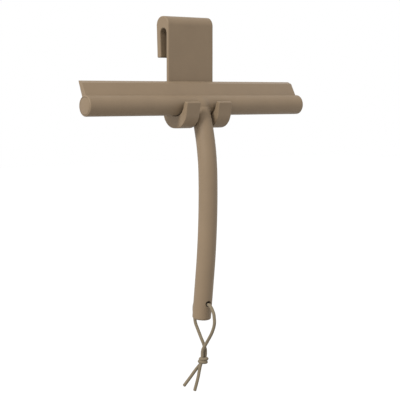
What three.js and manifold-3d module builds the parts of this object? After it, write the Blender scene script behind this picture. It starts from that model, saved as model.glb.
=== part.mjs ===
// Window cleaning squeegee with its over-the-glass hanger and a cord loop.
// Millimetres, +Z up, +X along the head, +Y towards the glass that the hanger hooks over.
// Everything is drawn around the head's axis, and the last lines move the origin to the hanger's flat back.
import * as THREE from 'three';
import { mergeGeometries, mergeVertices } from 'three/addons/utils/BufferGeometryUtils.js';
import Module from 'manifold-3d';

const wasm = await Module();
wasm.setup();

// ---------------------------------------------------------------- driving dimensions
const gap = 0.3; // running and moulding clearance between touching pieces

const headLength = 240;
const headRadius = 9;
const headFillet = 1.2;
const sleeveBore = 6.3;
const tubeOuter = 6;
const tubeInner = 5;
const capRadius = 7.5;
const capThickness = 2.7;
const spigotLength = 8;

const lipLeft = -119.6;
const lipRight = 117; // the lip stops a little short of the head's right end
const lipOutline = [[-1.9, 6.4], [4.0, 6.4], [9.5, 19.9], [9.7, 21.4], [4.9, 19.5], [-1.0, 9.1]];
const rootLength = 212; // the lip's bead stops short of the end caps' spigots
const rootOffset = 0.2; // the bead and its neck stand a little behind the head's axis
const neckWidth = 2.4;
const beadRadius = 2.3;
const beadHeight = 2.6;

const gripRadius = 8.5;
const gripBottom = -192.4;
const gripTop = -1.5; // the grip ends in a ball at this height, where it runs into the head
const ballRadius = 8.8;
const saddleOutline = [[10.05, 2], [10.05, 9.2], [9.5, 11.5], [8.9, 14.5], [8.4, 19]];
const apexHeight = -78; // the handle's most forward point
const apexReach = -14.8;
const upperBend = 170; // bend radii of the handle's centreline
const lowerBend = 600;
const bendChange = -62; // where the upper bend takes over from the lower one
const straightBelow = -150;
const rodRadius = 5;
const rodTop = -15;
const rodBottom = -165;
const studRadius = 2.5;
const studDepth = 1.2; // how near the stud comes to the head's axis
const anchorLength = 18;

const hangerWidth = 50.8;
const edgeRound = 0.5;
const plateFront = 10.1;
const plateBack = 13.2;
const slotRadius = 4.6;
const slotCentre = 63.9;
const crownTop = 79.2;
const crownRadius = 8;
const legOuter = 27.9;
const legEnd = 42.4;
const legLean = 1; // how far the spring leg closes in towards its end
const legThickness = 5.4;
const legRound = 2;
const seatBackCentre = [0.8, 0]; // the cradle holds the head between two arcs, both level at the bottom
const seatBackRadius = 9.3;
const seatFrontCentre = [-1.5, 1.6];
const seatFrontRadius = 10.9;
const leadInStart = THREE.MathUtils.degToRad(-172);
const prongTop = 3.6; // the prongs' inner top edge; their top slopes down from it to the front
const prongFall = THREE.MathUtils.degToRad(15);
const prongInner = -13.7;
const prongOuter = -17.7;
const prongRound = 1.1;
const prongSlope = THREE.MathUtils.degToRad(8.9); // the prongs' front face leans in towards its foot
const bellyFrontCentre = [-1.57, -5.8];
const bellyFrontRadius = 14.5;
const bellyBackCentre = [2.2, -4.4];
const bellyBackRadius = 15.9;
const heelRadius = 10; // fillet between the cradle's round back and the plate
const notchHalf = 10.4;
const notchBack = 10.6;
const pinRadius = 1.25;
const pinSpread = 12;
const pinHeight = 6;
const pinLength = 12;

const coreThickness = 1.2;
const coreWidth = 44;
const coreBend = 12.55; // radius of the strip's round under the head
const coreBendHeight = -2.2;
const coreLegLean = 0.8;
const coreLegEnd = 46.6;
const coreEndAngle = 0.08 - Math.PI;
const tongueInset = 12.4;
const tongueTop = 1;

const cordRadius = 1.5;
const holeRadius = 2.7;
const holeHeight = -177.9;
const strandHeight = -178.5; // the cord hangs in the lower half of its hole
const strandSides = 8;
const knotOutline = [[0, -3.4], [2.9, -3.4], [4.1, -2.2], [4.4, 0], [4.1, 2.2], [2.9, 3.4], [0, 3.4]];
const knotFlatness = 0.86;
const knotCentre = [0, -7.9, -230.6];

const mountHeight = 45; // the origin's height on the hanger's flat back, above the head's axis

// ---------------------------------------------------------------- colours
const silicone = { color: 0x8f7a62, roughness: 0.62, metalness: 0 };
const steel = { color: 0xb9bab8, roughness: 0.35, metalness: 1 };
const cordFabric = { color: 0x8b7d6b, roughness: 0.85, metalness: 0 };

// ---------------------------------------------------------------- solids
// Closed geometry to a manifold solid, and back.
function solid(geometry) {
  const bare = geometry.index ? geometry.toNonIndexed() : geometry.clone();
  bare.deleteAttribute('normal');
  bare.deleteAttribute('uv');
  const merged = mergeVertices(bare, 1e-4);
  const vertProperties = new Float32Array(merged.attributes.position.array);
  const triVerts = new Uint32Array(merged.index.array);
  return new wasm.Manifold(new wasm.Mesh({ numProp: 3, vertProperties, triVerts }));
}

function geometryOf(manifold) {
  const mesh = manifold.getMesh();
  const geometry = new THREE.BufferGeometry();
  const count = mesh.vertProperties.length / mesh.numProp;
  const positions = new Float32Array(count * 3);
  for (let i = 0; i < count; i += 1) {
    positions.set(mesh.vertProperties.slice(i * mesh.numProp, i * mesh.numProp + 3), i * 3);
  }
  geometry.setAttribute('position', new THREE.BufferAttribute(positions, 3));
  geometry.setIndex(new THREE.BufferAttribute(new Uint32Array(mesh.triVerts), 1));
  geometry.computeVertexNormals();
  return geometry;
}

function piece(name, geometry, finish) {
  const mesh = new THREE.Mesh(geometry, new THREE.MeshStandardMaterial(finish));
  mesh.name = name;
  return mesh;
}

// A box between two corners.
function block(x0, x1, y0, y1, z0, z1) {
  const geometry = new THREE.BoxGeometry(x1 - x0, y1 - y0, z1 - z0);
  geometry.translate((x0 + x1) / 2, (y0 + y1) / 2, (z0 + z1) / 2);
  return geometry;
}

// A cylinder along X, centred on the head's axis.
function barX(radius, length, sides, y = 0, z = 0) {
  const geometry = new THREE.CylinderGeometry(radius, radius, length, sides);
  geometry.rotateZ(Math.PI / 2);
  geometry.translate(0, y, z);
  return geometry;
}

// Drops points that repeat the one before.
function distinct(points) {
  return points.filter((p, i) => i === 0 || p.distanceTo(points[i - 1]) > 1e-6);
}

// A profile in the Y-Z plane, extruded along X and centred on X = 0, with rounded rims where bevel > 0.
function extrudeX(shape, width, curveSegments, bevel = 0) {
  const geometry = new THREE.ExtrudeGeometry(shape, {
    depth: width - 2 * bevel,
    curveSegments,
    steps: 1,
    bevelEnabled: bevel > 0,
    bevelThickness: bevel,
    bevelSize: bevel,
    bevelOffset: -bevel,
    bevelSegments: 2,
  });
  geometry.translate(0, 0, -(width - 2 * bevel) / 2);
  // Shape x -> Y, shape y -> Z, extrusion -> X.
  geometry.applyMatrix4(new THREE.Matrix4().set(0, 0, 1, 0, 1, 0, 0, 0, 0, 1, 0, 0, 0, 0, 0, 1));
  return geometry;
}

// ---------------------------------------------------------------- handle centreline
// The handle bows forward: a long lower bend, a tighter upper one, and a straight foot.
function handleY(z) {
  if (z < straightBelow) {
    const slope = (straightBelow - apexHeight) / lowerBend;
    return handleY(straightBelow) + slope * (z - straightBelow);
  }
  if (z < bendChange) {
    return apexReach + (z - apexHeight) ** 2 / (2 * lowerBend);
  }
  const slope = (bendChange - apexHeight) / lowerBend;
  const start = apexReach + (bendChange - apexHeight) ** 2 / (2 * lowerBend);
  return start + slope * (z - bendChange) + (z - bendChange) ** 2 / (2 * upperBend);
}

class HandleCurve extends THREE.Curve {
  constructor(bottom, top) {
    super();
    this.bottom = bottom;
    this.top = top;
  }

  getPoint(t, target = new THREE.Vector3()) {
    const z = THREE.MathUtils.lerp(this.bottom, this.top, t);
    return target.set(0, handleY(z), z);
  }
}

function circleShape(radius, sides) {
  const shape = new THREE.Shape();
  for (let i = 0; i < sides; i += 1) {
    const a = (2 * Math.PI * i) / sides;
    const x = radius * Math.cos(a);
    const y = radius * Math.sin(a);
    if (i === 0) {
      shape.moveTo(x, y);
    } else {
      shape.lineTo(x, y);
    }
  }
  shape.closePath();
  return shape;
}

function sweep(curve, radius, sides, steps) {
  return new THREE.ExtrudeGeometry(circleShape(radius, sides), { steps, extrudePath: curve });
}

// The handle's stud points from the rod's top at the head's axis.
const studBase = new THREE.Vector3(0, handleY(rodTop), rodTop);
const studAxis = studBase.clone().negate().normalize();

// A cylinder between two distances from the head's axis, along the stud.
function studBar(radius, near, far, sides) {
  const geometry = new THREE.CylinderGeometry(radius, radius, far - near, sides);
  const turn = new THREE.Quaternion().setFromUnitVectors(new THREE.Vector3(0, 1, 0), studAxis);
  geometry.applyQuaternion(turn);
  const centre = studAxis.clone().multiplyScalar(-(near + far) / 2);
  geometry.translate(centre.x, centre.y, centre.z);
  return geometry;
}

// The clearance hole that the stud needs in the head's pieces.
function studHole() {
  return solid(studBar(studRadius + gap, studDepth - 1, rodRadius + headRadius, 16));
}

// ---------------------------------------------------------------- head
// The slot along the head's top that the lip's neck passes through.
function neckSlot() {
  const half = neckWidth / 2 + gap;
  const reach = rootLength / 2 + gap;
  return solid(block(-reach, reach, rootOffset - half, rootOffset + half, tubeInner / 2, headRadius + 1));
}

function headTube() {
  const length = headLength - 2 * capThickness - 4 * gap;
  return geometryOf(
    solid(barX(tubeOuter, length, 32))
      .subtract(solid(barX(tubeInner, length + 2, 32)))
      .subtract(neckSlot())
      .subtract(studHole()),
  );
}

function headSleeve() {
  const half = headLength / 2;
  const recess = capRadius + gap;
  const recessDepth = capThickness + gap;
  const profile = new THREE.Path();
  profile.moveTo(sleeveBore, -half + recessDepth);
  profile.lineTo(recess, -half + recessDepth);
  profile.lineTo(recess, -half);
  profile.absarc(headRadius - headFillet, -half + headFillet, headFillet, -Math.PI / 2, 0, false);
  profile.absarc(headRadius - headFillet, half - headFillet, headFillet, 0, Math.PI / 2, false);
  profile.lineTo(recess, half);
  profile.lineTo(recess, half - recessDepth);
  profile.lineTo(sleeveBore, half - recessDepth);
  profile.lineTo(sleeveBore, -half + recessDepth);
  const geometry = new THREE.LatheGeometry(distinct(profile.getPoints(3)), 40);
  geometry.rotateZ(Math.PI / 2);
  return geometryOf(solid(geometry).subtract(neckSlot()).subtract(studHole()));
}

function endCap(side) {
  const face = headLength / 2;
  const inner = face - capThickness;
  const spigotRadius = tubeInner - gap;
  const chamfer = 0.8;
  const profile = [
    new THREE.Vector2(0, inner - spigotLength),
    new THREE.Vector2(spigotRadius - chamfer, inner - spigotLength),
    new THREE.Vector2(spigotRadius, inner - spigotLength + chamfer),
    new THREE.Vector2(spigotRadius, inner),
    new THREE.Vector2(capRadius, inner),
    new THREE.Vector2(capRadius, face),
    new THREE.Vector2(0, face),
  ];
  const geometry = new THREE.LatheGeometry(profile, 32);
  geometry.rotateZ(-Math.PI / 2);
  if (side < 0) {
    geometry.rotateZ(Math.PI);
  }
  return geometryOf(solid(geometry));
}

// The lip leans back, tapers from root to edge and ends in a bevel that leaves the wiping edge at the back.
function wiperBlade() {
  const lip = new THREE.Shape(lipOutline.map(([y, z]) => new THREE.Vector2(y, z)));
  const seat = solid(barX(headRadius + gap, headLength + 4, 96));
  const bar = extrudeX(lip, lipRight - lipLeft, 1);
  bar.translate((lipLeft + lipRight) / 2, 0, 0);
  const body = solid(bar).subtract(seat);
  const half = neckWidth / 2;
  const neck = block(
    -rootLength / 2, rootLength / 2,
    rootOffset - half, rootOffset + half,
    beadHeight, headRadius + 1.2,
  );
  const bead = barX(beadRadius, rootLength, 20, rootOffset, beadHeight);
  return geometryOf(body.add(solid(neck)).add(solid(bead)));
}

// A half-round shoe inside the tube that the handle's stud is fixed in, below the lip's bead.
function headAnchor() {
  const radius = tubeInner - gap;
  return geometryOf(
    solid(barX(radius, anchorLength, 24))
      .subtract(solid(block(-anchorLength, anchorLength, -radius, radius, -gap, radius)))
      .subtract(studHole()),
  );
}

// ---------------------------------------------------------------- handle
function handleCore() {
  const rod = solid(sweep(new HandleCurve(rodBottom, rodTop), rodRadius, 12, 16));
  const stud = solid(studBar(studRadius, studDepth, studBase.length() + 1, 12));
  return geometryOf(rod.add(stud));
}

// The room inside the grip for the rod and its stud.
function handleBore() {
  const rod = new HandleCurve(rodBottom - gap, rodTop + gap);
  return solid(sweep(rod, rodRadius + gap, 12, 16))
    .add(solid(studBar(studRadius + gap, 2, studBase.length() + 1, 16)));
}

function handleGrip() {
  const outer = solid(sweep(new HandleCurve(gripBottom, gripTop), gripRadius, 28, 24));
  const ball = new THREE.SphereGeometry(ballRadius, 24, 14);
  ball.translate(0, handleY(gripTop), gripTop);
  // A flare that carries the handle's round into the head's.
  const flare = saddleOutline.map(([r, h]) => new THREE.Vector2(r, h));
  flare.unshift(new THREE.Vector2(0, flare[0].y));
  flare.push(new THREE.Vector2(0, flare[flare.length - 1].y));
  const saddle = new THREE.LatheGeometry(flare, 28);
  const down = new THREE.Quaternion().setFromUnitVectors(
    new THREE.Vector3(0, 1, 0),
    studAxis.clone().negate(),
  );
  saddle.applyQuaternion(down);
  const crossHole = new THREE.CylinderGeometry(holeRadius, holeRadius, 4 * gripRadius, 20);
  crossHole.translate(0, handleY(holeHeight), holeHeight);
  const above = block(-30, 30, -30, 30, 0.5, 40);
  return geometryOf(
    outer
      .add(solid(ball))
      .add(solid(saddle))
      .subtract(solid(barX(headRadius + gap, 60, 64)))
      .subtract(handleBore())
      .subtract(solid(crossHole))
      .subtract(solid(above)),
  );
}

// ---------------------------------------------------------------- hanger
// The hanger's side view: seat, prong, round belly, heel, plate, slot, spring leg and crown.
function hangerShape() {
  const slotY = plateBack + slotRadius;
  const legInner = slotY + slotRadius - legLean;
  const legRear = legInner + legThickness;
  const heelY = plateBack + heelRadius;
  const heelRise = Math.sqrt((bellyBackRadius + heelRadius) ** 2 - (heelY - bellyBackCentre[0]) ** 2);
  const heelZ = bellyBackCentre[1] + heelRise;
  const heelAngle = Math.atan2(heelRise, heelY - bellyBackCentre[0]);
  const quarter = Math.PI / 2;
  const outerTop = prongTop - (prongInner - prongOuter) * Math.tan(prongFall);
  const prongStep = prongRound * Math.tan(prongFall);
  const shape = new THREE.Shape();
  shape.moveTo(plateFront, seatBackCentre[1]);
  shape.absarc(...seatBackCentre, seatBackRadius, 0, -quarter, true);
  shape.absarc(...seatFrontCentre, seatFrontRadius, -quarter, leadInStart, true);
  shape.lineTo(prongInner, prongTop - prongRound);
  shape.quadraticCurveTo(prongInner, prongTop, prongInner - prongRound, prongTop - prongStep);
  shape.lineTo(prongOuter + prongRound, outerTop + prongStep);
  shape.quadraticCurveTo(prongOuter, outerTop, prongOuter, outerTop - prongRound);
  shape.absarc(...bellyFrontCentre, bellyFrontRadius, Math.PI + prongSlope, 3 * quarter, false);
  shape.absarc(...bellyBackCentre, bellyBackRadius, -quarter, heelAngle, false);
  shape.absarc(heelY, heelZ, heelRadius, Math.PI + heelAngle, Math.PI, true);
  shape.absarc(slotY, slotCentre, slotRadius, Math.PI, 0, true);
  shape.lineTo(legInner, legEnd + legRound);
  shape.quadraticCurveTo(legInner, legEnd, legInner + legRound, legEnd);
  shape.lineTo(legRear - legRound, legEnd);
  shape.quadraticCurveTo(legRear, legEnd, legRear, legEnd + legRound);
  shape.lineTo(legOuter, crownTop - 1.5 * crownRadius);
  shape.absarc(legOuter - crownRadius, crownTop - crownRadius, crownRadius, 0, quarter, false);
  shape.absarc(plateFront + crownRadius, crownTop - crownRadius, crownRadius, quarter, Math.PI, false);
  return new THREE.Shape(distinct(shape.getPoints(10)));
}

// The bent strip inside the hanger: rear leg, over the slot, down the plate and round under the head.
function coreShape(half, extension) {
  const plateMiddle = (plateFront + plateBack) / 2;
  const slotY = plateBack + slotRadius;
  const bend = slotY - plateMiddle;
  const path = new THREE.Path();
  path.moveTo(slotY + bend - coreLegLean, coreLegEnd - extension);
  path.lineTo(slotY + bend, slotCentre);
  path.absarc(slotY, slotCentre, bend, 0, Math.PI, false);
  path.absarc(plateMiddle - coreBend, coreBendHeight, coreBend, 0, coreEndAngle - extension / coreBend, true);
  const line = distinct(path.getPoints(12));
  const left = [];
  const right = [];
  line.forEach((p, i) => {
    const before = line[Math.max(i - 1, 0)];
    const after = line[Math.min(i + 1, line.length - 1)];
    const along = after.clone().sub(before).normalize();
    left.push(new THREE.Vector2(p.x - along.y * half, p.y + along.x * half));
    right.push(new THREE.Vector2(p.x + along.y * half, p.y - along.x * half));
  });
  return new THREE.Shape([...left, ...right.reverse()]);
}

// Below the plate the strip runs on as two tongues, one in each prong.
function coreSolid(half, width, extension, inset) {
  const strip = solid(extrudeX(coreShape(half, extension), width, 1));
  return strip.subtract(solid(block(-inset, inset, -40, 40, -40, tongueTop - extension)));
}

function hangerCore() {
  return geometryOf(coreSolid(coreThickness / 2, coreWidth, 0, tongueInset));
}

function hangerCover() {
  const notch = block(-notchHalf, notchHalf, -40, notchBack, -40, 2 * prongTop);
  let cover = solid(extrudeX(hangerShape(), hangerWidth, 10, edgeRound))
    .subtract(solid(notch))
    .subtract(coreSolid(coreThickness / 2 + gap, coreWidth + 2 * gap, gap, tongueInset - gap));
  // Two pinholes behind the cradle, where the mould held the strip.
  for (const side of [-1, 1]) {
    const pin = new THREE.CylinderGeometry(pinRadius, pinRadius, pinLength, 12);
    pin.translate(side * pinSpread, plateBack + pinLength / 3, pinHeight);
    cover = cover.subtract(solid(pin));
  }
  return geometryOf(cover);
}

// ---------------------------------------------------------------- cord
const strandStart = handleY(strandHeight);

// Points chosen along the cord, from the middle of the handle's hole to where each strand enters the knot.
const frontStrand = [
  [0.0, strandStart - gap / 2, strandHeight],
  [0.0, -11.6, -178.5],
  [0.0, -16.1, -178.6],
  [0.0, -18.7, -179.9],
  [0.1, -21.0, -182.6],
  [0.1, -23.0, -185.9],
  [0.1, -23.7, -189.7],
  [0.2, -23.9, -193.6],
  [0.3, -22.9, -197.7],
  [0.3, -21.2, -201.4],
  [0.3, -19.0, -205.1],
  [0.2, -16.3, -208.9],
  [0.3, -13.1, -212.9],
  [-0.4, -10.9, -216.5],
  [-1.1, -9.2, -219.6],
  [-1.4, -8.5, -222.6],
  [-1.5, -8.4, -226.6],
];
const backStrand = [
  [0.0, strandStart + gap / 2, strandHeight],
  [0.0, -3.0, -178.5],
  [0.0, 0.6, -178.5],
  [0.0, 2.8, -178.9],
  [0.0, 4.6, -180.3],
  [0.1, 5.6, -182.6],
  [0.2, 5.9, -185.7],
  [0.3, 5.7, -189.6],
  [0.5, 5.2, -194.2],
  [0.4, 4.0, -198.1],
  [0.4, 1.5, -202.0],
  [0.2, -1.8, -206.4],
  [0.2, -4.6, -210.5],
  [0.7, -6.4, -213.9],
  [1.4, -7.4, -217.2],
  [2.2, -8.0, -220.2],
  [2.4, -8.1, -223.1],
  [2.2, -8.0, -226.6],
];
// The cut tails below the knot.
const leftTail = [
  [-1.8, -3.9, -236.0],
  [-4.4, -1.5, -240.5],
  [-6.8, 0.7, -245.2],
  [-9.3, 2.9, -249.8],
  [-12.2, 5.3, -255.0],
];
const rightTail = [
  [-2.9, -7.5, -234.9],
  [-3.6, -6.8, -239.7],
  [-4.3, -6.1, -245.0],
  [-5.3, -5.1, -251.0],
  [-6.7, -3.7, -258.5],
];

function cordSolid(points, steps) {
  const curve = new THREE.CatmullRomCurve3(points.map((p) => new THREE.Vector3(...p)));
  return sweep(curve, cordRadius, strandSides, steps);
}

function cordKnot() {
  const profile = knotOutline.map(([r, h]) => new THREE.Vector2(r, h));
  const geometry = new THREE.LatheGeometry(profile, 20);
  geometry.scale(1, 1, knotFlatness);
  geometry.rotateX(Math.PI / 2);
  geometry.translate(...knotCentre);
  return geometryOf(solid(geometry));
}

// ---------------------------------------------------------------- assembly
const hanger = new THREE.Group();
hanger.add(
  piece('hanger_cover', hangerCover(), silicone),
  piece('hanger_core', hangerCore(), steel),
);

const squeegee = new THREE.Group();
squeegee.add(
  piece('head_tube', headTube(), steel),
  piece('head_sleeve', headSleeve(), silicone),
  piece('wiper_blade', wiperBlade(), silicone),
  piece('end_cap_left', endCap(-1), silicone),
  piece('end_cap_right', endCap(1), silicone),
  piece('head_anchor', headAnchor(), steel),
  piece('handle_core', handleCore(), steel),
  piece('handle_grip', handleGrip(), silicone),
);

const cord = new THREE.Group();
cord.add(
  piece('cord_front_strand', cordSolid(frontStrand, 20), cordFabric),
  piece('cord_back_strand', cordSolid(backStrand, 20), cordFabric),
  piece('cord_knot', cordKnot(), cordFabric),
  piece('cord_tail_left', cordSolid(leftTail, 8), cordFabric),
  piece('cord_tail_right', cordSolid(rightTail, 8), cordFabric),
);

const assembly = new THREE.Group();
assembly.add(hanger, squeegee, cord);
assembly.position.set(0, -plateBack, -mountHeight);

export default assembly;
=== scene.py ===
"""Window cleaning squeegee hanging in its over-the-glass hanger, with a knotted cord loop.

Lengths are millimetres from the head's axis at mid length, with +X along the head, +Y towards
the glass and +Z up. place() turns them into the row frame, in metres.
"""
import math
import bmesh
import bpy
import numpy as np
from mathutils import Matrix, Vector


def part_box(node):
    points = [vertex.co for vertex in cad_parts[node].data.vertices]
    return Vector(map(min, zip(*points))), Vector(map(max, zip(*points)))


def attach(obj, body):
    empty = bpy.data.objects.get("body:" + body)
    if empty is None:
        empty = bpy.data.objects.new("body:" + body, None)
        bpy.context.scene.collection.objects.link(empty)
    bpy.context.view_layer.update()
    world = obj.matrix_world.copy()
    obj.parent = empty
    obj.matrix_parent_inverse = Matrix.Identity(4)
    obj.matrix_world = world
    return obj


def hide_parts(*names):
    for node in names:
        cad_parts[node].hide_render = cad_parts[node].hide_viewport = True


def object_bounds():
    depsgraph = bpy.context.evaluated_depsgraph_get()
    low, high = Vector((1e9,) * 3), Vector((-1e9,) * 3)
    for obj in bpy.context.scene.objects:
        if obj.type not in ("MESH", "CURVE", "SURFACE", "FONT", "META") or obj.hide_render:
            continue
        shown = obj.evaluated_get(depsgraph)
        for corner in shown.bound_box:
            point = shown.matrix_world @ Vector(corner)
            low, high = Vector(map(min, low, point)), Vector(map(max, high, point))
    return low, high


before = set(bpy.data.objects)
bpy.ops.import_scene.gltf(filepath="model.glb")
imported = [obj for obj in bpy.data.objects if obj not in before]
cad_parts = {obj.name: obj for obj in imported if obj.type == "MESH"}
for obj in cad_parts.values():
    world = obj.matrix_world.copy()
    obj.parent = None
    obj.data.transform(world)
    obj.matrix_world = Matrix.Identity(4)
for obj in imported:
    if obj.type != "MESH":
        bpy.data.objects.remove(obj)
cad_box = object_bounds()
scene = bpy.context.scene
MM = 0.001


def middle(node):
    """The middle of a CAD node's box, in metres."""
    low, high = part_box(node)
    return np.array((low + high) / 2)


HEAD = middle("head_sleeve")


def place(points):
    """Points in millimetres from the head's axis, moved into the row frame."""
    return np.asarray(points, float) * MM + HEAD


def span(node):
    """A CAD node's lowest and highest corners, in millimetres from the head's axis."""
    return [(np.array(corner) - HEAD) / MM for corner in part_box(node)]


# ------------------------------------------------------------------ measures
HEAD_HALF, _, HEAD_R = span("head_sleeve")[1]
COVER_LOW, COVER_HIGH = span("hanger_cover")
HANGER_HALF = COVER_HIGH[0]
LIP_LEFT, LIP_RIGHT = (corner[0] for corner in span("wiper_blade"))
GRIP_FRONT = span("handle_grip")[0][1]
CRISP = 28  # degrees: an edge sharper than this is shaded crisp

# ------------------------------------------------------------------ camera
CAMERA_YAW = math.radians(38.0)
CAMERA_PITCH = math.radians(4.92)
CAMERA_PLACE = (-678.05, -871.0, 9.84)
CAMERA_LENS, CAMERA_SENSOR = 110.61, 36.0
# Level directions in the view of that camera.
ACROSS = np.array([math.cos(CAMERA_YAW), -math.sin(CAMERA_YAW), 0])
AWAY = np.array([math.sin(CAMERA_YAW), math.cos(CAMERA_YAW), 0])


def make_camera():
    data = bpy.data.cameras.new("camera")
    data.lens = CAMERA_LENS
    data.sensor_width = CAMERA_SENSOR
    data.clip_start = 0.05
    data.clip_end = 50.0
    camera = bpy.data.objects.new("camera", data)
    camera.location = place(CAMERA_PLACE)
    ahead = Vector((
        math.sin(CAMERA_YAW) * math.cos(CAMERA_PITCH),
        math.cos(CAMERA_YAW) * math.cos(CAMERA_PITCH),
        -math.sin(CAMERA_PITCH),
    ))
    camera.rotation_mode = "QUATERNION"
    camera.rotation_quaternion = ahead.to_track_quat("-Z", "Y")
    scene.collection.objects.link(camera)
    scene.camera = camera


make_camera()


# ------------------------------------------------------------------ mesh tools
def new_object(name, data):
    obj = bpy.data.objects.new(name, data)
    scene.collection.objects.link(obj)
    return obj


def make_piece(name, points, faces, sharp=None):
    """A smooth-shaded object from points in millimetres; edges over the sharp angle stay crisp."""
    mesh = bpy.data.meshes.new(name)
    mesh.from_pydata(place(points).tolist(), [], [list(map(int, f)) for f in faces])
    mesh.shade_smooth()
    if sharp is not None:
        mesh.set_sharp_from_angle(angle=math.radians(sharp))
    return new_object(name, mesh)


def face_out(obj):
    """Turns every face of a closed mesh outwards."""
    work = bmesh.new()
    work.from_mesh(obj.data)
    bmesh.ops.recalc_face_normals(work, faces=work.faces)
    work.to_mesh(obj.data)
    work.free()


def carve(obj, tool, operation="DIFFERENCE"):
    """Cuts or joins a closed mesh, applies the result and removes the tool."""
    modifier = obj.modifiers.new("carve", "BOOLEAN")
    modifier.object = tool
    modifier.operation = operation
    modifier.solver = "EXACT"
    shown = obj.evaluated_get(bpy.context.evaluated_depsgraph_get())
    mesh = bpy.data.meshes.new_from_object(shown)
    obj.modifiers.clear()
    obj.data = mesh
    bpy.data.objects.remove(tool)


def round_meet(a, b, r):
    """The overlap of two distances with its edge rounded to radius r."""
    corner = np.hypot(np.maximum(a + r, 0), np.maximum(b + r, 0))
    return np.minimum(-r, np.maximum(a, b)) + corner


def round_join(a, b, r):
    """The sum of two distances with its inner corner filled to radius r."""
    corner = np.hypot(np.maximum(r - a, 0), np.maximum(r - b, 0))
    return np.maximum(r, np.minimum(a, b)) - corner


def outline_distance(outline, u, v):
    """Signed distance in a plane to a closed outline, below zero inside it."""
    u, v = np.broadcast_arrays(u, v)
    best = np.full(u.shape, np.inf)
    inside = np.zeros(u.shape, bool)
    for (au, av), (bu, bv) in zip(outline, np.roll(outline, -1, axis=0)):
        du, dv = bu - au, bv - av
        pu, pv = u - au, v - av
        t = np.clip((pu * du + pv * dv) / (du * du + dv * dv), 0, 1)
        best = np.minimum(best, (pu - t * du) ** 2 + (pv - t * dv) ** 2)
        if dv != 0:
            inside ^= ((av <= v) != (bv <= v)) & (u < au + pv * du / dv)
    return np.where(inside, -1, 1) * np.sqrt(best)


def level_surface(distance, low, high, step):
    """Points and quads of the zero level of a signed distance within a box, by surface nets."""
    grid = [np.arange(a - 2 * step, b + 3 * step, step) for a, b in zip(low, high)]
    shape = tuple(len(g) for g in grid)
    field = distance(grid[0][:, None, None], grid[1][None, :, None], grid[2][None, None, :])
    field = np.broadcast_to(field, shape)
    crossings, quads = [], []
    for axis in range(3):
        a = np.take(field, range(shape[axis] - 1), axis)
        b = np.take(field, range(1, shape[axis]), axis)
        where = np.argwhere((a < 0) != (b < 0))
        start, end = a[tuple(where.T)], b[tuple(where.T)]
        point = np.stack([grid[k][where[:, k]] for k in range(3)], axis=1)
        point[:, axis] += step * start / (start - end)
        around = []
        for du, dv in ((0, 0), (1, 0), (1, 1), (0, 1)):
            cell = where.copy()
            cell[:, (axis + 1) % 3] -= du
            cell[:, (axis + 2) % 3] -= dv
            around.append(np.ravel_multi_index(cell.T, shape))
        quad = np.stack(around, axis=1)
        quads.append(np.where((start < 0)[:, None], quad, quad[:, ::-1]))
        crossings.append(point)
    quads, crossings = np.concatenate(quads), np.concatenate(crossings)
    cells, index = np.unique(quads, return_inverse=True)
    index = index.reshape(quads.shape)
    count = np.bincount(index.ravel(), minlength=len(cells))
    points = np.stack([
        np.bincount(index.ravel(), np.repeat(crossings[:, k], 4), minlength=len(cells)) / count
        for k in range(3)
    ], axis=1)
    return settle(distance, points, step), index


def settle(distance, points, step):
    """Moves points onto the zero level of a signed distance, in three Newton steps."""
    h = 0.05 * step
    for _ in range(3):
        value = distance(*points.T)
        slope = np.stack([
            (distance(*(points + h * axis).T) - distance(*(points - h * axis).T)) / (2 * h)
            for axis in np.eye(3)
        ], axis=1)
        move = value / np.maximum((slope ** 2).sum(axis=1), 0.2)
        points = points - np.clip(move, -0.5 * step, 0.5 * step)[:, None] * slope
    return points


def arc(centre, radius, start, end, count):
    """Points on an arc in the Y-Z plane, angles in degrees."""
    angles = np.radians(np.linspace(start, end, count))
    return [(centre[0] + radius * math.cos(a), centre[1] + radius * math.sin(a)) for a in angles]


def rounded(corners):
    """A closed outline from (y, z, radius) corners, with each corner rounded to its radius."""
    outline = []
    spots = np.array([c[:2] for c in corners], float)
    for i, (y, z, radius) in enumerate(corners):
        here = spots[i]
        back = spots[i - 1] - here
        on = spots[(i + 1) % len(spots)] - here
        back /= np.linalg.norm(back)
        on /= np.linalg.norm(on)
        half = 0.5 * math.acos(np.clip(back @ on, -1, 1))
        if radius == 0 or half > math.radians(88):
            outline.append(tuple(here))
            continue
        centre = here + (back + on) / np.linalg.norm(back + on) * radius / math.sin(half)
        first = here + back * radius / math.tan(half) - centre
        last = here + on * radius / math.tan(half) - centre
        a = math.atan2(first[1], first[0])
        turn = (math.atan2(last[1], last[0]) - a + math.pi) % (2 * math.pi) - math.pi
        for angle in a + turn * np.linspace(0, 1, 5):
            outline.append(tuple(centre + radius * np.array([math.cos(angle), math.sin(angle)])))
    return outline


def inset(outline, amount):
    """An outline moved inwards by an amount; the outline runs anticlockwise."""
    spots = np.array(outline, float)
    back = spots - np.roll(spots, 1, axis=0)
    on = np.roll(spots, -1, axis=0) - spots
    back /= np.linalg.norm(back, axis=1, keepdims=True)
    on /= np.linalg.norm(on, axis=1, keepdims=True)
    along = back + on
    along /= np.linalg.norm(along, axis=1, keepdims=True)
    inwards = np.stack([-along[:, 1], along[:, 0]], axis=1)
    stretch = 1 / np.maximum((back * along).sum(axis=1), 0.5)
    return spots + inwards * amount * stretch[:, None]


def tube_faces(rings, sides):
    """Quads between rings of points that follow each other, closed at both ends by a flat face."""
    faces = []
    for r in range(rings - 1):
        for i in range(sides):
            j = (i + 1) % sides
            faces.append((r * sides + i, r * sides + j, (r + 1) * sides + j, (r + 1) * sides + i))
    faces.append(tuple(reversed(range(sides))))
    faces.append(tuple((rings - 1) * sides + i for i in range(sides)))
    return faces


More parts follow.
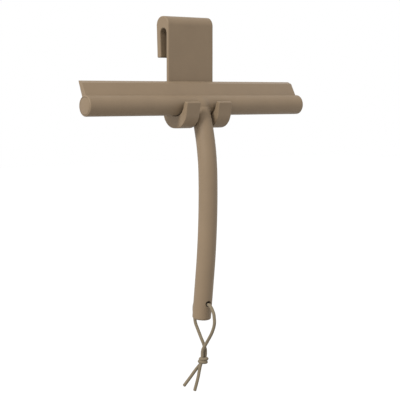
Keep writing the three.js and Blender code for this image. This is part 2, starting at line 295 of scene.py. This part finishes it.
def loft_x(name, outline, start, end, edge):
    """A Y-Z outline drawn out along X from start to end, with its rims rounded by edge."""
    angles = np.radians((90, 60, 30, 0))
    rims = [(edge * (1 - math.sin(a)), edge * (1 - math.cos(a))) for a in angles]
    stations = [(start + x, i) for x, i in rims] + [(end - x, i) for x, i in reversed(rims)]
    rings = [np.column_stack([np.full(len(outline), x), inset(outline, i)]) for x, i in stations]
    obj = make_piece(name, np.concatenate(rings), tube_faces(len(rings), len(outline)))
    face_out(obj)
    return obj


def revolve_x(name, profile, sides):
    """A closed (x, radius) profile turned round the head's axis.

    A profile point on the axis becomes a single point.
    """
    points, rows = [], []
    for x, r in profile:
        if r < 1e-6:
            rows.append([len(points)] * sides)
            points.append((x, 0, 0))
            continue
        rows.append(list(range(len(points), len(points) + sides)))
        for a in np.linspace(0, 2 * math.pi, sides, endpoint=False):
            points.append((x, r * math.cos(a), r * math.sin(a)))
    faces = []
    for row, after in zip(rows, rows[1:] + rows[:1]):
        for i in range(sides):
            j = (i + 1) % sides
            face = list(dict.fromkeys((row[i], row[j], after[j], after[i])))
            if len(face) > 2:
                faces.append(face)
    obj = make_piece(name, points, faces, CRISP)
    face_out(obj)
    return obj


# ------------------------------------------------------------------ materials
SILICONE_COLOUR = (0.180, 0.1275, 0.0775)
CORD_COLOUR = (0.154, 0.122, 0.079)
STEEL_DARK, STEEL_LIGHT = (0.30, 0.30, 0.295), (0.42, 0.42, 0.415)


class Shader:
    """A principled material with a few node helpers."""

    def __init__(self, name, **sockets):
        self.material = bpy.data.materials.new(name)
        self.material.use_nodes = True
        self.nodes = self.material.node_tree.nodes
        self.links = self.material.node_tree.links
        self.shader = self.nodes["Principled BSDF"]
        for socket, value in sockets.items():
            self.shader.inputs[socket.replace("_", " ")].default_value = value
        self.place = self.nodes.new("ShaderNodeTexCoord").outputs["Object"]

    def link(self, a, b):
        self.links.new(a, b)

    def noise(self, scale, detail, roughness=0.5, stretch=(1, 1, 1)):
        mapping = self.nodes.new("ShaderNodeMapping")
        mapping.inputs["Scale"].default_value = stretch
        self.link(self.place, mapping.inputs["Vector"])
        noise = self.nodes.new("ShaderNodeTexNoise")
        noise.inputs["Scale"].default_value = scale
        noise.inputs["Detail"].default_value = detail
        noise.inputs["Roughness"].default_value = roughness
        self.link(mapping.outputs["Vector"], noise.inputs["Vector"])
        return noise.outputs["Fac"]

    def spread(self, value, low, high, from_low=0.3, from_high=0.7):
        """Maps a value's range onto low to high; a noise lies mostly between 0.3 and 0.7."""
        node = self.nodes.new("ShaderNodeMapRange")
        for name, number in (
            ("From Min", from_low), ("From Max", from_high), ("To Min", low), ("To Max", high),
        ):
            node.inputs[name].default_value = number
        self.link(value, node.inputs["Value"])
        return node.outputs["Result"]

    def mix(self, factor, a, b):
        node = self.nodes.new("ShaderNodeMix")
        node.data_type = "RGBA"
        self.link(factor, node.inputs["Factor"])
        for name, value in (("A", a), ("B", b)):
            socket = next(s for s in node.inputs if s.name == name and s.type == "RGBA")
            if isinstance(value, tuple):
                socket.default_value = (*value, 1)
            else:
                self.link(value, socket)
        return node.outputs["Result"]

    def bump(self, height, distance, strength, below=None):
        node = self.nodes.new("ShaderNodeBump")
        node.inputs["Distance"].default_value = distance
        node.inputs["Strength"].default_value = strength
        self.link(height, node.inputs["Height"])
        if below is not None:
            self.link(below, node.inputs["Normal"])
        return node.outputs["Normal"]

    def set(self, socket, value):
        self.link(value, self.shader.inputs[socket])


def tone(colour, share):
    """A colour made lighter or darker by a share."""
    return tuple(c * share for c in colour)


def silicone_material(name, colour, roughness):
    """Matt moulded silicone: fine spark-eroded grain, faint cloudiness and a few rubbed patches."""
    s = Shader(name, Specular_IOR_Level=0.30, Sheen_Weight=0.05, Sheen_Roughness=0.55)
    s.shader.inputs["Sheen Tint"].default_value = (0.9, 0.82, 0.72, 1)
    cloud = s.spread(s.noise(55, 3), 0, 1)
    clouded = s.mix(cloud, tone(colour, 0.965), tone(colour, 1.035))
    speck = s.spread(s.noise(2600, 2), 0, 1, 0.60, 0.72)
    s.set("Base Color", s.mix(speck, clouded, tone(colour, 1.13)))
    s.set("Roughness", s.spread(s.noise(120, 4, 0.6), roughness - 0.03, roughness + 0.05))
    grain = s.bump(s.noise(3800, 3, 0.6), 0.00004, 0.35)
    s.set("Normal", s.bump(s.noise(90, 2), 0.0004, 0.12, grain))
    return s.material


def cord_material():
    """Round braided polyester cord: a soft sheen, fine fibres and faint patches."""
    s = Shader("braided_cord", Specular_IOR_Level=0.25, Sheen_Weight=0.2, Sheen_Roughness=0.4)
    fibre = s.spread(s.noise(5200, 3, 0.7), 0, 1)
    fibres = s.mix(fibre, tone(CORD_COLOUR, 0.86), tone(CORD_COLOUR, 1.14))
    patch = s.spread(s.noise(500, 2), 0, 1)
    s.set("Base Color", s.mix(patch, fibres, tone(CORD_COLOUR, 1.08)))
    s.set("Roughness", s.spread(fibre, 0.72, 0.9, 0, 1))
    s.set("Normal", s.bump(s.noise(6000, 2, 0.6), 0.00006, 0.5))
    return s.material


def steel_material():
    """Drawn stainless steel, brushed along X."""
    s = Shader("drawn_steel", Metallic=1.0)
    brushed = s.noise(900, 4, 0.6, (0.06, 1, 1))
    s.set("Base Color", s.mix(s.spread(brushed, 0, 1), STEEL_DARK, STEEL_LIGHT))
    s.set("Roughness", s.spread(brushed, 0.28, 0.42))
    s.set("Normal", s.bump(brushed, 0.00003, 0.4))
    return s.material


SILICONE = silicone_material("taupe_silicone", SILICONE_COLOUR, 0.56)
LIP_SILICONE = silicone_material("lip_silicone", tone(SILICONE_COLOUR, 1.02), 0.5)
CORD = cord_material()
STEEL = steel_material()


def finish_piece(obj, material, body, slot, *nodes):
    """Gives a piece its material and its body, and hides the CAD nodes that it stands for; the slot
    argument is not used.
    """
    obj.data.materials.clear()
    obj.data.materials.append(material)
    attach(obj, body)
    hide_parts(*nodes)


# ------------------------------------------------------------------ cord
CORD_R = 1.5
# Each strand from the middle of the handle's hole to where it enters the knot.
FRONT_STRAND = [
    (0, -7.3, -178.5), (0, -11.6, -178.5), (0, -16.1, -178.6), (0, -18.7, -179.9),
    (0.1, -21, -182.6), (0.1, -23, -185.9), (0.1, -23.7, -189.7), (0.2, -23.9, -193.6),
    (0.3, -22.9, -197.7), (0.3, -21.2, -201.4), (0.3, -19, -205.1), (0.2, -16.3, -208.9),
    (0.3, -13.1, -212.9), (-0.4, -10.9, -216.5), (-1.1, -9.2, -219.6), (-1.4, -8.5, -222.6),
    (-1.5, -8.4, -226.6),
]
BACK_STRAND = [
    (0, -7, -178.5), (0, -3, -178.5), (0, 0.6, -178.5), (0, 2.8, -178.9), (0, 4.6, -180.3),
    (0.1, 5.6, -182.6), (0.2, 5.9, -185.7), (0.3, 5.7, -189.6), (0.5, 5.2, -194.2),
    (0.4, 4, -198.1), (0.4, 1.5, -202.0), (0.2, -1.8, -206.4), (0.2, -4.6, -210.5),
    (0.7, -6.4, -213.9), (1.4, -7.4, -217.2), (2.2, -8, -220.2), (2.4, -8.1, -223.1),
    (2.2, -8.0, -226.6),
]
# Where each strand passes the middle of the knot, and its tail below the knot.
FRONT_MIDDLE = (-1.7, -8.2, -230.6)
BACK_MIDDLE = (1.0, -6.8, -230.8)
LEFT_TAIL = [
    (-1.8, -3.9, -236.0), (-4.4, -1.5, -240.5), (-6.8, 0.7, -245.2), (-9.3, 2.9, -249.8),
    (-12.2, 5.3, -255.0),
]
RIGHT_TAIL = [
    (-2.9, -7.5, -234.9), (-3.6, -6.8, -239.7), (-4.3, -6.1, -245.0), (-5.3, -5.1, -251.0),
    (-6.7, -3.7, -258.5),
]
CORD_STEP = 0.22
PLAITS = 8
PLAIT_PITCH = 1.55
PLAIT_RELIEF = 0.11
CORD_SIDES = 64
SEAL_LENGTH, SEAL_SHARE = 0.8, 0.75  # a sealed end loses this share of its cross-section
# The knot's two wraps: their middles, half width, half depth, slant, cord and tucked ends.
KNOT_TOP, KNOT_BOTTOM = (0.3, -8.1, -229.1), (-0.3, -7.6, -231.8)
KNOT_WIDE, KNOT_WIDENS = 2.95, 0.1
KNOT_DEEP = 2.3
KNOT_SLANT, KNOT_SLANT_CHANGE = 0.15, -0.45
KNOT_CORD_R = CORD_R + 0.08
KNOT_TUCK = 1.6
KNOT_STEP = 0.25
# In turns: where the wraps begin and end, and where and over how much they step down.
WRAP_FIRST, WRAP_LAST = 0.04, 1.96
STEP_FROM, STEP_OVER = 0.80, 0.4


def smooth_line(points, step):
    """Evenly spaced points on a Catmull-Rom curve through the given ones."""
    spots = np.array(points, float)
    spots = np.vstack([2 * spots[0] - spots[1], spots, 2 * spots[-1] - spots[-2]])
    fine = []
    for a, b, c, d in zip(spots, spots[1:], spots[2:], spots[3:]):
        for t in np.linspace(0, 1, 24, endpoint=False):
            square, cube = 2 * a - 5 * b + 4 * c - d, 3 * b - a - 3 * c + d
            fine.append(0.5 * (2 * b + (c - a) * t + square * t ** 2 + cube * t ** 3))
    fine = np.array(fine + [spots[-2]])
    along = np.concatenate([[0], np.cumsum(np.linalg.norm(np.diff(fine, axis=0), axis=1))])
    at = np.linspace(0, along[-1], int(along[-1] / step) + 1)
    return np.stack([np.interp(at, along, fine[:, k]) for k in range(3)], axis=1)


def plait_height(angle, along):
    """The relief of a plaited cover: ridges of two crossing helices, each over the other in turn."""
    p = PLAITS * angle / (2 * math.pi) + along / PLAIT_PITCH
    q = PLAITS * angle / (2 * math.pi) - along / PLAIT_PITCH
    over = (np.round(p) + np.round(q)) % 2 == 0
    return np.where(over, np.cos(math.pi * (p - np.round(p))), np.cos(math.pi * (q - np.round(q))))


def braided(name, line, radius, sealed_ends=(True, True)):
    """A round plaited cord along a line, with its cut ends sealed round."""
    line = np.asarray(line, float)
    tangent = np.gradient(line, axis=0)
    tangent /= np.linalg.norm(tangent, axis=1, keepdims=True)
    side = np.cross(tangent[0], (0.0, 0.3, 1.0))
    side /= np.linalg.norm(side)
    along = np.concatenate([[0], np.cumsum(np.linalg.norm(np.diff(line, axis=0), axis=1))])
    angle = np.linspace(0, 2 * math.pi, CORD_SIDES, endpoint=False)
    round_side, round_other = np.cos(angle)[:, None], np.sin(angle)[:, None]
    points = []
    for i, spot in enumerate(line):
        side = side - tangent[i] * (side @ tangent[i])
        side /= np.linalg.norm(side)
        other = np.cross(tangent[i], side)
        size = radius - PLAIT_RELIEF + PLAIT_RELIEF * plait_height(angle, along[i])
        for sealed, away in zip(sealed_ends, (along[i], along[-1] - along[i])):
            if sealed and away < SEAL_LENGTH:
                size = size * math.sqrt(1 - (1 - away / SEAL_LENGTH) ** 2 * SEAL_SHARE)
        points.append(spot + size[:, None] * (round_side * side + round_other * other))
    obj = make_piece(name, np.concatenate(points), tube_faces(len(line), CORD_SIDES))
    face_out(obj)
    return obj


def wrap_point(turn):
    """A point on the knot's two wraps, by turns from the middle of the back.

    The step from the upper wrap down to the lower one happens at the back.
    """
    a = 2 * math.pi * turn
    step = np.clip((turn - STEP_FROM) / STEP_OVER, 0, 1)
    step = step * step * (3 - 2 * step)
    centre = (1 - step) * np.array(KNOT_TOP) + step * np.array(KNOT_BOTTOM)
    slant = (KNOT_SLANT + KNOT_SLANT_CHANGE * step) * math.sin(a)
    wide = KNOT_WIDE + KNOT_WIDENS * step
    round_it = KNOT_DEEP * math.cos(a) * AWAY - wide * math.sin(a) * ACROSS
    return centre + round_it - np.array([0, 0, slant])


def knot_line():
    """Two wraps round both strands, with both ends tucked in."""
    line = [wrap_point(t) for t in np.linspace(WRAP_FIRST, WRAP_LAST, 56)]
    line = [line[0] - KNOT_TUCK * AWAY] + line + [line[-1] - KNOT_TUCK * AWAY]
    return smooth_line(line, KNOT_STEP)


def make_strand(name, strand, middle_point, tail, nodes):
    """A strand from the hole, through the knot and on into its own tail, told as a free cord."""
    line = smooth_line(strand + [middle_point] + tail, CORD_STEP)
    cord = braided(name, line, CORD_R, sealed_ends=(False, True))
    finish_piece(cord, CORD, "cord", "cord", *nodes)


def make_cords():
    """The one real cord, told as two that share its knot."""
    knot = braided("cord_knot_wraps", knot_line(), KNOT_CORD_R)
    finish_piece(knot, CORD, "cord", "cord", "cord_knot")
    front_nodes = ("cord_front_strand", "cord_tail_right")
    back_nodes = ("cord_back_strand", "cord_tail_left")
    make_strand("cord_front", FRONT_STRAND, FRONT_MIDDLE, RIGHT_TAIL, front_nodes)
    make_strand("cord_back", BACK_STRAND, BACK_MIDDLE, LEFT_TAIL, back_nodes)


make_cords()

# ------------------------------------------------------------------ head
END_FILLET = 1.2
CAP_R, CAP_DEPTH, CAP_RIM = 7.45, 2.7, 0.3
RECESS_R, RECESS_DEPTH, RECESS_RIM = CAP_R + 0.2, CAP_DEPTH + 0.05, 0.12
SLEEVE_BORE = 6.3
SPIGOT_R, SPIGOT_END_R = 4.2, 3.8
SPIGOT_LENGTH, SPIGOT_CHAMFER = 8.0, 0.4
RIBS, RIB_START, RIB_PITCH = 3, 1.2, 2.2
RIB_R, RIB_FOOT_R, RIB_RISE, RIB_LENGTH = 4.7, 4.3, 0.2, 1.0
NECK_SLOT = [(-1.3, 3), (1.7, 3), (1.7, 8.93), (-1.3, 8.93)]
NECK_SLOT_HALF, NECK_SLOT_RIM = 106.3, 0.1
# The lip's side view as (y, z, rounding): it leans back, tapers and ends in a bevel.
LIP_CORNERS = [
    (-1.6, 8.0, 0), (4.4, 7.6, 0), (9.5, 19.9, 0.4), (9.74, 21.4, 0.12), (4.9, 19.5, 0.4),
    (-1.02, 9.02, 0),
]
LIP_RIM = 0.3
# The lip's root: a neck through the slot and a round bead inside the tube.
NECK_FRONT, NECK_BACK, NECK_TOP, NECK_BOTTOM = -1.0, 1.4, 8.6, 4.6
BEAD_MIDDLE, BEAD_R = (0.2, 2.6), 2.3
ROOT_HALF, ROOT_RIM = 106.0, 0.2


def quarter(x, r, radius, count):
    """A rounded corner of an (x, radius) profile, from its flat end face round to its side."""
    return [
        (x - radius + radius * math.cos(a), r - radius + radius * math.sin(a))
        for a in np.radians(np.linspace(0, 90, count))
    ]


def make_sleeve():
    """The head's round sleeve, with rounded ends, a recess for each end cap and the lip's slot."""
    floor = HEAD_HALF - RECESS_DEPTH
    right = [(floor, SLEEVE_BORE), (floor, RECESS_R), (HEAD_HALF - RECESS_RIM, RECESS_R)]
    right += quarter(HEAD_HALF, HEAD_R, END_FILLET, 9)
    left = [(-x, r) for x, r in reversed(right)]
    sleeve = revolve_x("head_sleeve_skin", right + left, 180)
    carve(sleeve, loft_x("slot", NECK_SLOT, -NECK_SLOT_HALF, NECK_SLOT_HALF, NECK_SLOT_RIM))
    sleeve.data.set_sharp_from_angle(angle=math.radians(CRISP))
    finish_piece(sleeve, SILICONE, "squeegee", "silicone", "head_sleeve")


def make_caps():
    """Flat end plugs: a disc with a softened rim and a ribbed spigot that sits in the steel tube."""
    back = HEAD_HALF - CAP_DEPTH
    profile = [(HEAD_HALF, 0.0)] + quarter(HEAD_HALF, CAP_R, CAP_RIM, 6)
    profile += [(back, CAP_R), (back, SPIGOT_R)]
    for rib in range(RIBS):
        start = back - RIB_START - RIB_PITCH * rib
        profile += [(start, SPIGOT_R), (start - RIB_RISE, RIB_R)]
        profile += [(start - RIB_LENGTH, RIB_FOOT_R), (start - RIB_LENGTH, SPIGOT_R)]
    tip = back - SPIGOT_LENGTH
    profile += [(tip + SPIGOT_CHAMFER, SPIGOT_R), (tip, SPIGOT_END_R), (tip, 0.0)]
    for side, name in ((-1, "end_cap_left"), (1, "end_cap_right")):
        cap = revolve_x(name + "_plug", [(side * x, r) for x, r in profile], 120)
        finish_piece(cap, SILICONE, "squeegee", "silicone", name)


def make_lip():
    """The wiping lip, joined to its root."""
    lip = loft_x("wiper_lip", rounded(LIP_CORNERS), LIP_LEFT, LIP_RIGHT, LIP_RIM)
    keyhole = [(NECK_BACK, NECK_TOP), (NECK_FRONT, NECK_TOP), (NECK_FRONT, NECK_BOTTOM)]
    keyhole += arc(BEAD_MIDDLE, BEAD_R, 120, 420, 21) + [(NECK_BACK, NECK_BOTTOM)]
    carve(lip, loft_x("root", keyhole, -ROOT_HALF, ROOT_HALF, ROOT_RIM), "UNION")
    lip.data.set_sharp_from_angle(angle=math.radians(CRISP))
    finish_piece(lip, LIP_SILICONE, "squeegee", "silicone_lip", "wiper_blade")


make_sleeve()
make_caps()
make_lip()

# ------------------------------------------------------------------ handle
GRIP_R = 8.5
# The bow: a tighter upper bend, a long lower one and a straight foot, by height.
APEX_Z, APEX_Y = -78.0, -14.8
UPPER_BEND, LOWER_BEND = 170.0, 600.0
BEND_CHANGE, STRAIGHT_BELOW = -62.0, -150.0
GRIP_FOOT, FOOT_ROUND = -192.4, 1.7
HOLE_Z, HOLE_R, HOLE_RIM = -177.9, 2.65, 0.3
# The ball at the grip's top and the fillet that carries it into the head.
BALL_Z, BALL_R = -1.5, GRIP_R + 0.25
HEAD_FILLET, HEAD_SINK = 1.9, 0.03
# What trims the part that wraps the head: its depth, its half width and a slanting top.
WRAP_DEPTH, WRAP_HALF = 0.8, 11.6
WRAP_TOP_Y, WRAP_TOP_Z, WRAP_TOP = 0.62, 0.78, 5.5
# A box around the grip, and the size of its surface's cells.
GRIP_LOW, GRIP_HIGH = (-12, GRIP_FRONT - 1, GRIP_FOOT - 2.5), (12, 11, 9)
GRIP_STEP = 0.55


def handle_slope(z):
    lower = (np.maximum(z, STRAIGHT_BELOW) - APEX_Z) / LOWER_BEND
    upper = (BEND_CHANGE - APEX_Z) / LOWER_BEND + (z - BEND_CHANGE) / UPPER_BEND
    return np.where(z < BEND_CHANGE, lower, upper)


def handle_y(z):
    low = np.maximum(z, STRAIGHT_BELOW)
    lower = APEX_Y + (low - APEX_Z) ** 2 / (2 * LOWER_BEND) + handle_slope(low) * (z - low)
    start = APEX_Y + (BEND_CHANGE - APEX_Z) ** 2 / (2 * LOWER_BEND)
    rise = z - BEND_CHANGE
    upper = start + (BEND_CHANGE - APEX_Z) / LOWER_BEND * rise + rise ** 2 / (2 * UPPER_BEND)
    return np.where(z < BEND_CHANGE, lower, upper)


def grip_distance(x, y, z):
    """The bowed round grip, blended into the head at its top and drilled across near its foot."""
    radial = np.hypot(x, (y - handle_y(z)) / np.sqrt(1 + handle_slope(z) ** 2)) - GRIP_R
    slope = float(handle_slope(GRIP_FOOT))
    foot_y = float(handle_y(GRIP_FOOT))
    foot = (GRIP_FOOT - z - slope * (y - foot_y)) / math.sqrt(1 + slope ** 2)
    rod = np.maximum(round_meet(radial, foot, FOOT_ROUND), z - BALL_Z)
    ball_y = float(handle_y(BALL_Z))
    ball = np.sqrt(x ** 2 + (y - ball_y) ** 2 + (z - BALL_Z) ** 2) - BALL_R
    from_head = np.hypot(y, z)
    grip = round_join(np.minimum(rod, ball), from_head - (HEAD_R - HEAD_SINK), HEAD_FILLET)
    grip = np.maximum(grip, (HEAD_R - WRAP_DEPTH) - from_head)
    grip = np.maximum(grip, np.abs(x) - WRAP_HALF)
    grip = np.maximum(grip, WRAP_TOP_Y * y + WRAP_TOP_Z * z - WRAP_TOP)
    hole = np.hypot(x, z - HOLE_Z) - HOLE_R
    return round_meet(grip, -hole, HOLE_RIM)


def make_grip():
    points, quads = level_surface(grip_distance, GRIP_LOW, GRIP_HIGH, GRIP_STEP)
    grip = make_piece("handle_grip_skin", points, quads)
    finish_piece(grip, SILICONE, "squeegee", "silicone", "handle_grip")


make_grip()

# ------------------------------------------------------------------ hanger
PLATE_FRONT, PLATE_BACK = 10.1, 13.2
SLOT_R, SLOT_Z = 4.6, 63.9
CROWN_R, CROWN_TOP = 8.0, 79.2
LEG_OUTER, LEG_END, LEG_LEAN, LEG_THICK, LEG_ROUND = 27.9, 42.4, 1.0, 5.4, 1.0
SEAT_BACK, SEAT_BACK_R = (0.8, 0.0), 9.3
SEAT_FRONT, SEAT_FRONT_R = (-1.5, 1.6), 10.9
PRONG_TOP, PRONG_INNER, PRONG_OUTER, PRONG_ROUND = 3.6, -13.7, -17.7, 0.45
PRONG_FALL, PRONG_SLOPE = 15.0, 8.9  # degrees, of the prong's top and of its front
BELLY_FRONT, BELLY_FRONT_R = (-1.57, -5.8), 14.5
BELLY_BACK, BELLY_BACK_R = (2.2, -4.4), 15.9
NOTCH_HALF, NOTCH_BACK, NOTCH_TOP = 10.4, 10.6, PRONG_TOP + 3
HEEL_R = 10.0
PIN_X, PIN_Z, PIN_R, PIN_FROM, PIN_RIM = 12.0, 6.0, 1.25, 11.2, 0.3
# The rounding of the hanger's long edges, which grows between two heights.
EDGE_ROUND, EDGE_GROWS, EDGE_FROM_Z, EDGE_OVER = 0.42, 0.5, 4, 14
HANGER_STEP = 0.6


def hanger_outline():
    """The hanger's side view: seat, prong tip, round belly, heel, plate, slot, spring leg and crown."""
    slot_y = PLATE_BACK + SLOT_R
    leg_inner = slot_y + SLOT_R - LEG_LEAN
    leg_rear = leg_inner + LEG_THICK
    heel_y = PLATE_BACK + HEEL_R
    rise = math.sqrt((BELLY_BACK_R + HEEL_R) ** 2 - (heel_y - BELLY_BACK[0]) ** 2)
    heel_angle = math.degrees(math.atan2(rise, heel_y - BELLY_BACK[0]))
    r, q = PRONG_ROUND, LEG_ROUND
    outline = arc(SEAT_BACK, SEAT_BACK_R, 0, -90, 24)
    outline += arc(SEAT_FRONT, SEAT_FRONT_R, -90, -172, 24)
    drop = (PRONG_INNER - PRONG_OUTER - 2 * r) * math.tan(math.radians(PRONG_FALL))
    outline += arc((PRONG_INNER - r, PRONG_TOP - r), r, 0, 90 + PRONG_FALL, 8)
    outline += arc((PRONG_OUTER + r, PRONG_TOP - r - drop), r, 90 + PRONG_FALL, 180 + PRONG_SLOPE, 8)
    outline += arc(BELLY_FRONT, BELLY_FRONT_R, 180 + PRONG_SLOPE, 270, 30)
    outline += arc(BELLY_BACK, BELLY_BACK_R, 270, 360 + heel_angle, 40)
    outline += arc((heel_y, BELLY_BACK[1] + rise), HEEL_R, 180 + heel_angle, 180, 16)[1:]
    outline += arc((slot_y, SLOT_Z), SLOT_R, 180, 0, 24)
    outline += arc((leg_inner + q, LEG_END + q), q, 180, 270, 7)
    outline += arc((leg_rear - q, LEG_END + q), q, 270, 360, 7)
    outline += arc((LEG_OUTER - CROWN_R, CROWN_TOP - CROWN_R), CROWN_R, 0, 90, 18)
    outline += arc((PLATE_FRONT + CROWN_R, CROWN_TOP - CROWN_R), CROWN_R, 90, 180, 18)
    return np.array(outline)


HANGER_OUTLINE = hanger_outline()


def hanger_distance(x, y, z):
    """The hanger's skin: its side view drawn out along X, notched for the handle and pinholed."""
    side = outline_distance(HANGER_OUTLINE, y, z)
    edge = EDGE_ROUND + EDGE_GROWS * np.clip((z - EDGE_FROM_Z) / EDGE_OVER, 0, 1)
    body = round_meet(side, np.abs(x) - HANGER_HALF, edge)
    notch = np.maximum(np.abs(x) - NOTCH_HALF, y - NOTCH_BACK)
    notch = np.maximum(notch, z - NOTCH_TOP)
    body = round_meet(body, -notch, EDGE_ROUND)
    pin = np.maximum(np.hypot(np.abs(x) - PIN_X, z - PIN_Z) - PIN_R, PIN_FROM - y)
    return round_meet(body, -pin, PIN_RIM)


def make_hanger():
    points, quads = level_surface(hanger_distance, COVER_LOW, COVER_HIGH, HANGER_STEP)
    cover = make_piece("hanger_skin", points, quads)
    finish_piece(cover, SILICONE, "hanger", "silicone", "hanger_cover")


make_hanger()

# ------------------------------------------------------------------ steel inside
for node in ("hanger_core", "head_tube", "head_anchor", "handle_core"):
    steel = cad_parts[node]
    steel.data.materials.clear()
    steel.data.materials.append(STEEL)

# ------------------------------------------------------------------ studio
FLOOR_DROP, FLOOR_HALF = 0.20, 6.0  # metres
FLOOR_PAINTED_SHADOW, FLOOR_FAR = 0.32, 0.66  # painted shadow: a darker floor tone below the squeegee, and the plain floor tone away from it
FLOOR_PAINTED_SHADOW_R, FLOOR_FAR_R = 0.35, 0.85  # metres
WORLD_STRENGTH = 1.0
SUN_TOWARDS, SUN_STRENGTH, SUN_ANGLE = (-0.78, -0.14, 0.61), 3.1, 16


def make_floor():
    """A plain pale floor with a painted shadow: a darker grey pool painted right below the squeegee."""
    material = bpy.data.materials.new("pale_floor_painted_shadow")
    material.use_nodes = True
    nodes, links = material.node_tree.nodes, material.node_tree.links
    shader = nodes["Principled BSDF"]
    shader.inputs["Roughness"].default_value = 1.0
    shader.inputs["Specular IOR Level"].default_value = 0.0
    # Painted shadow: the floor's colour grows darker towards the point right below the squeegee.
    distance = nodes.new("ShaderNodeVectorMath")
    distance.operation = "LENGTH"
    links.new(nodes.new("ShaderNodeTexCoord").outputs["Object"], distance.inputs[0])
    painted_shadow_ramp = nodes.new("ShaderNodeMapRange")
    painted_shadow_ramp.interpolation_type = "SMOOTHSTEP"
    for socket, value in (
        ("From Min", FLOOR_PAINTED_SHADOW_R), ("From Max", FLOOR_FAR_R),
        ("To Min", FLOOR_PAINTED_SHADOW), ("To Max", FLOOR_FAR),
    ):
        painted_shadow_ramp.inputs[socket].default_value = value
    links.new(distance.outputs["Value"], painted_shadow_ramp.inputs["Value"])
    links.new(painted_shadow_ramp.outputs["Result"], shader.inputs["Base Color"])
    corners = [(FLOOR_HALF * x, FLOOR_HALF * y, 0) for x, y in ((-1, -1), (1, -1), (1, 1), (-1, 1))]
    mesh = bpy.data.meshes.new("floor")
    mesh.from_pydata(corners, [], [(0, 1, 2, 3)])
    mesh.materials.append(material)
    floor = new_object("floor", mesh)
    floor.location = (HEAD[0], HEAD[1], cad_box[0][2] - FLOOR_DROP)


def make_sun():
    """A soft key light, from the direction SUN_TOWARDS."""
    data = bpy.data.lights.new("key", "SUN")
    data.energy = SUN_STRENGTH
    data.angle = math.radians(SUN_ANGLE)
    lamp = new_object("key", data)
    lamp.rotation_mode = "QUATERNION"
    lamp.rotation_quaternion = (-Vector(SUN_TOWARDS)).to_track_quat("-Z", "Y")


def make_world():
    world = bpy.data.worlds.new("studio")
    world.use_nodes = True
    background = world.node_tree.nodes["Background"]
    background.inputs["Color"].default_value = (1, 1, 1, 1)
    background.inputs["Strength"].default_value = WORLD_STRENGTH
    scene.world = world


make_floor()
make_world()
make_sun()
scene.view_settings.view_transform = "Standard"
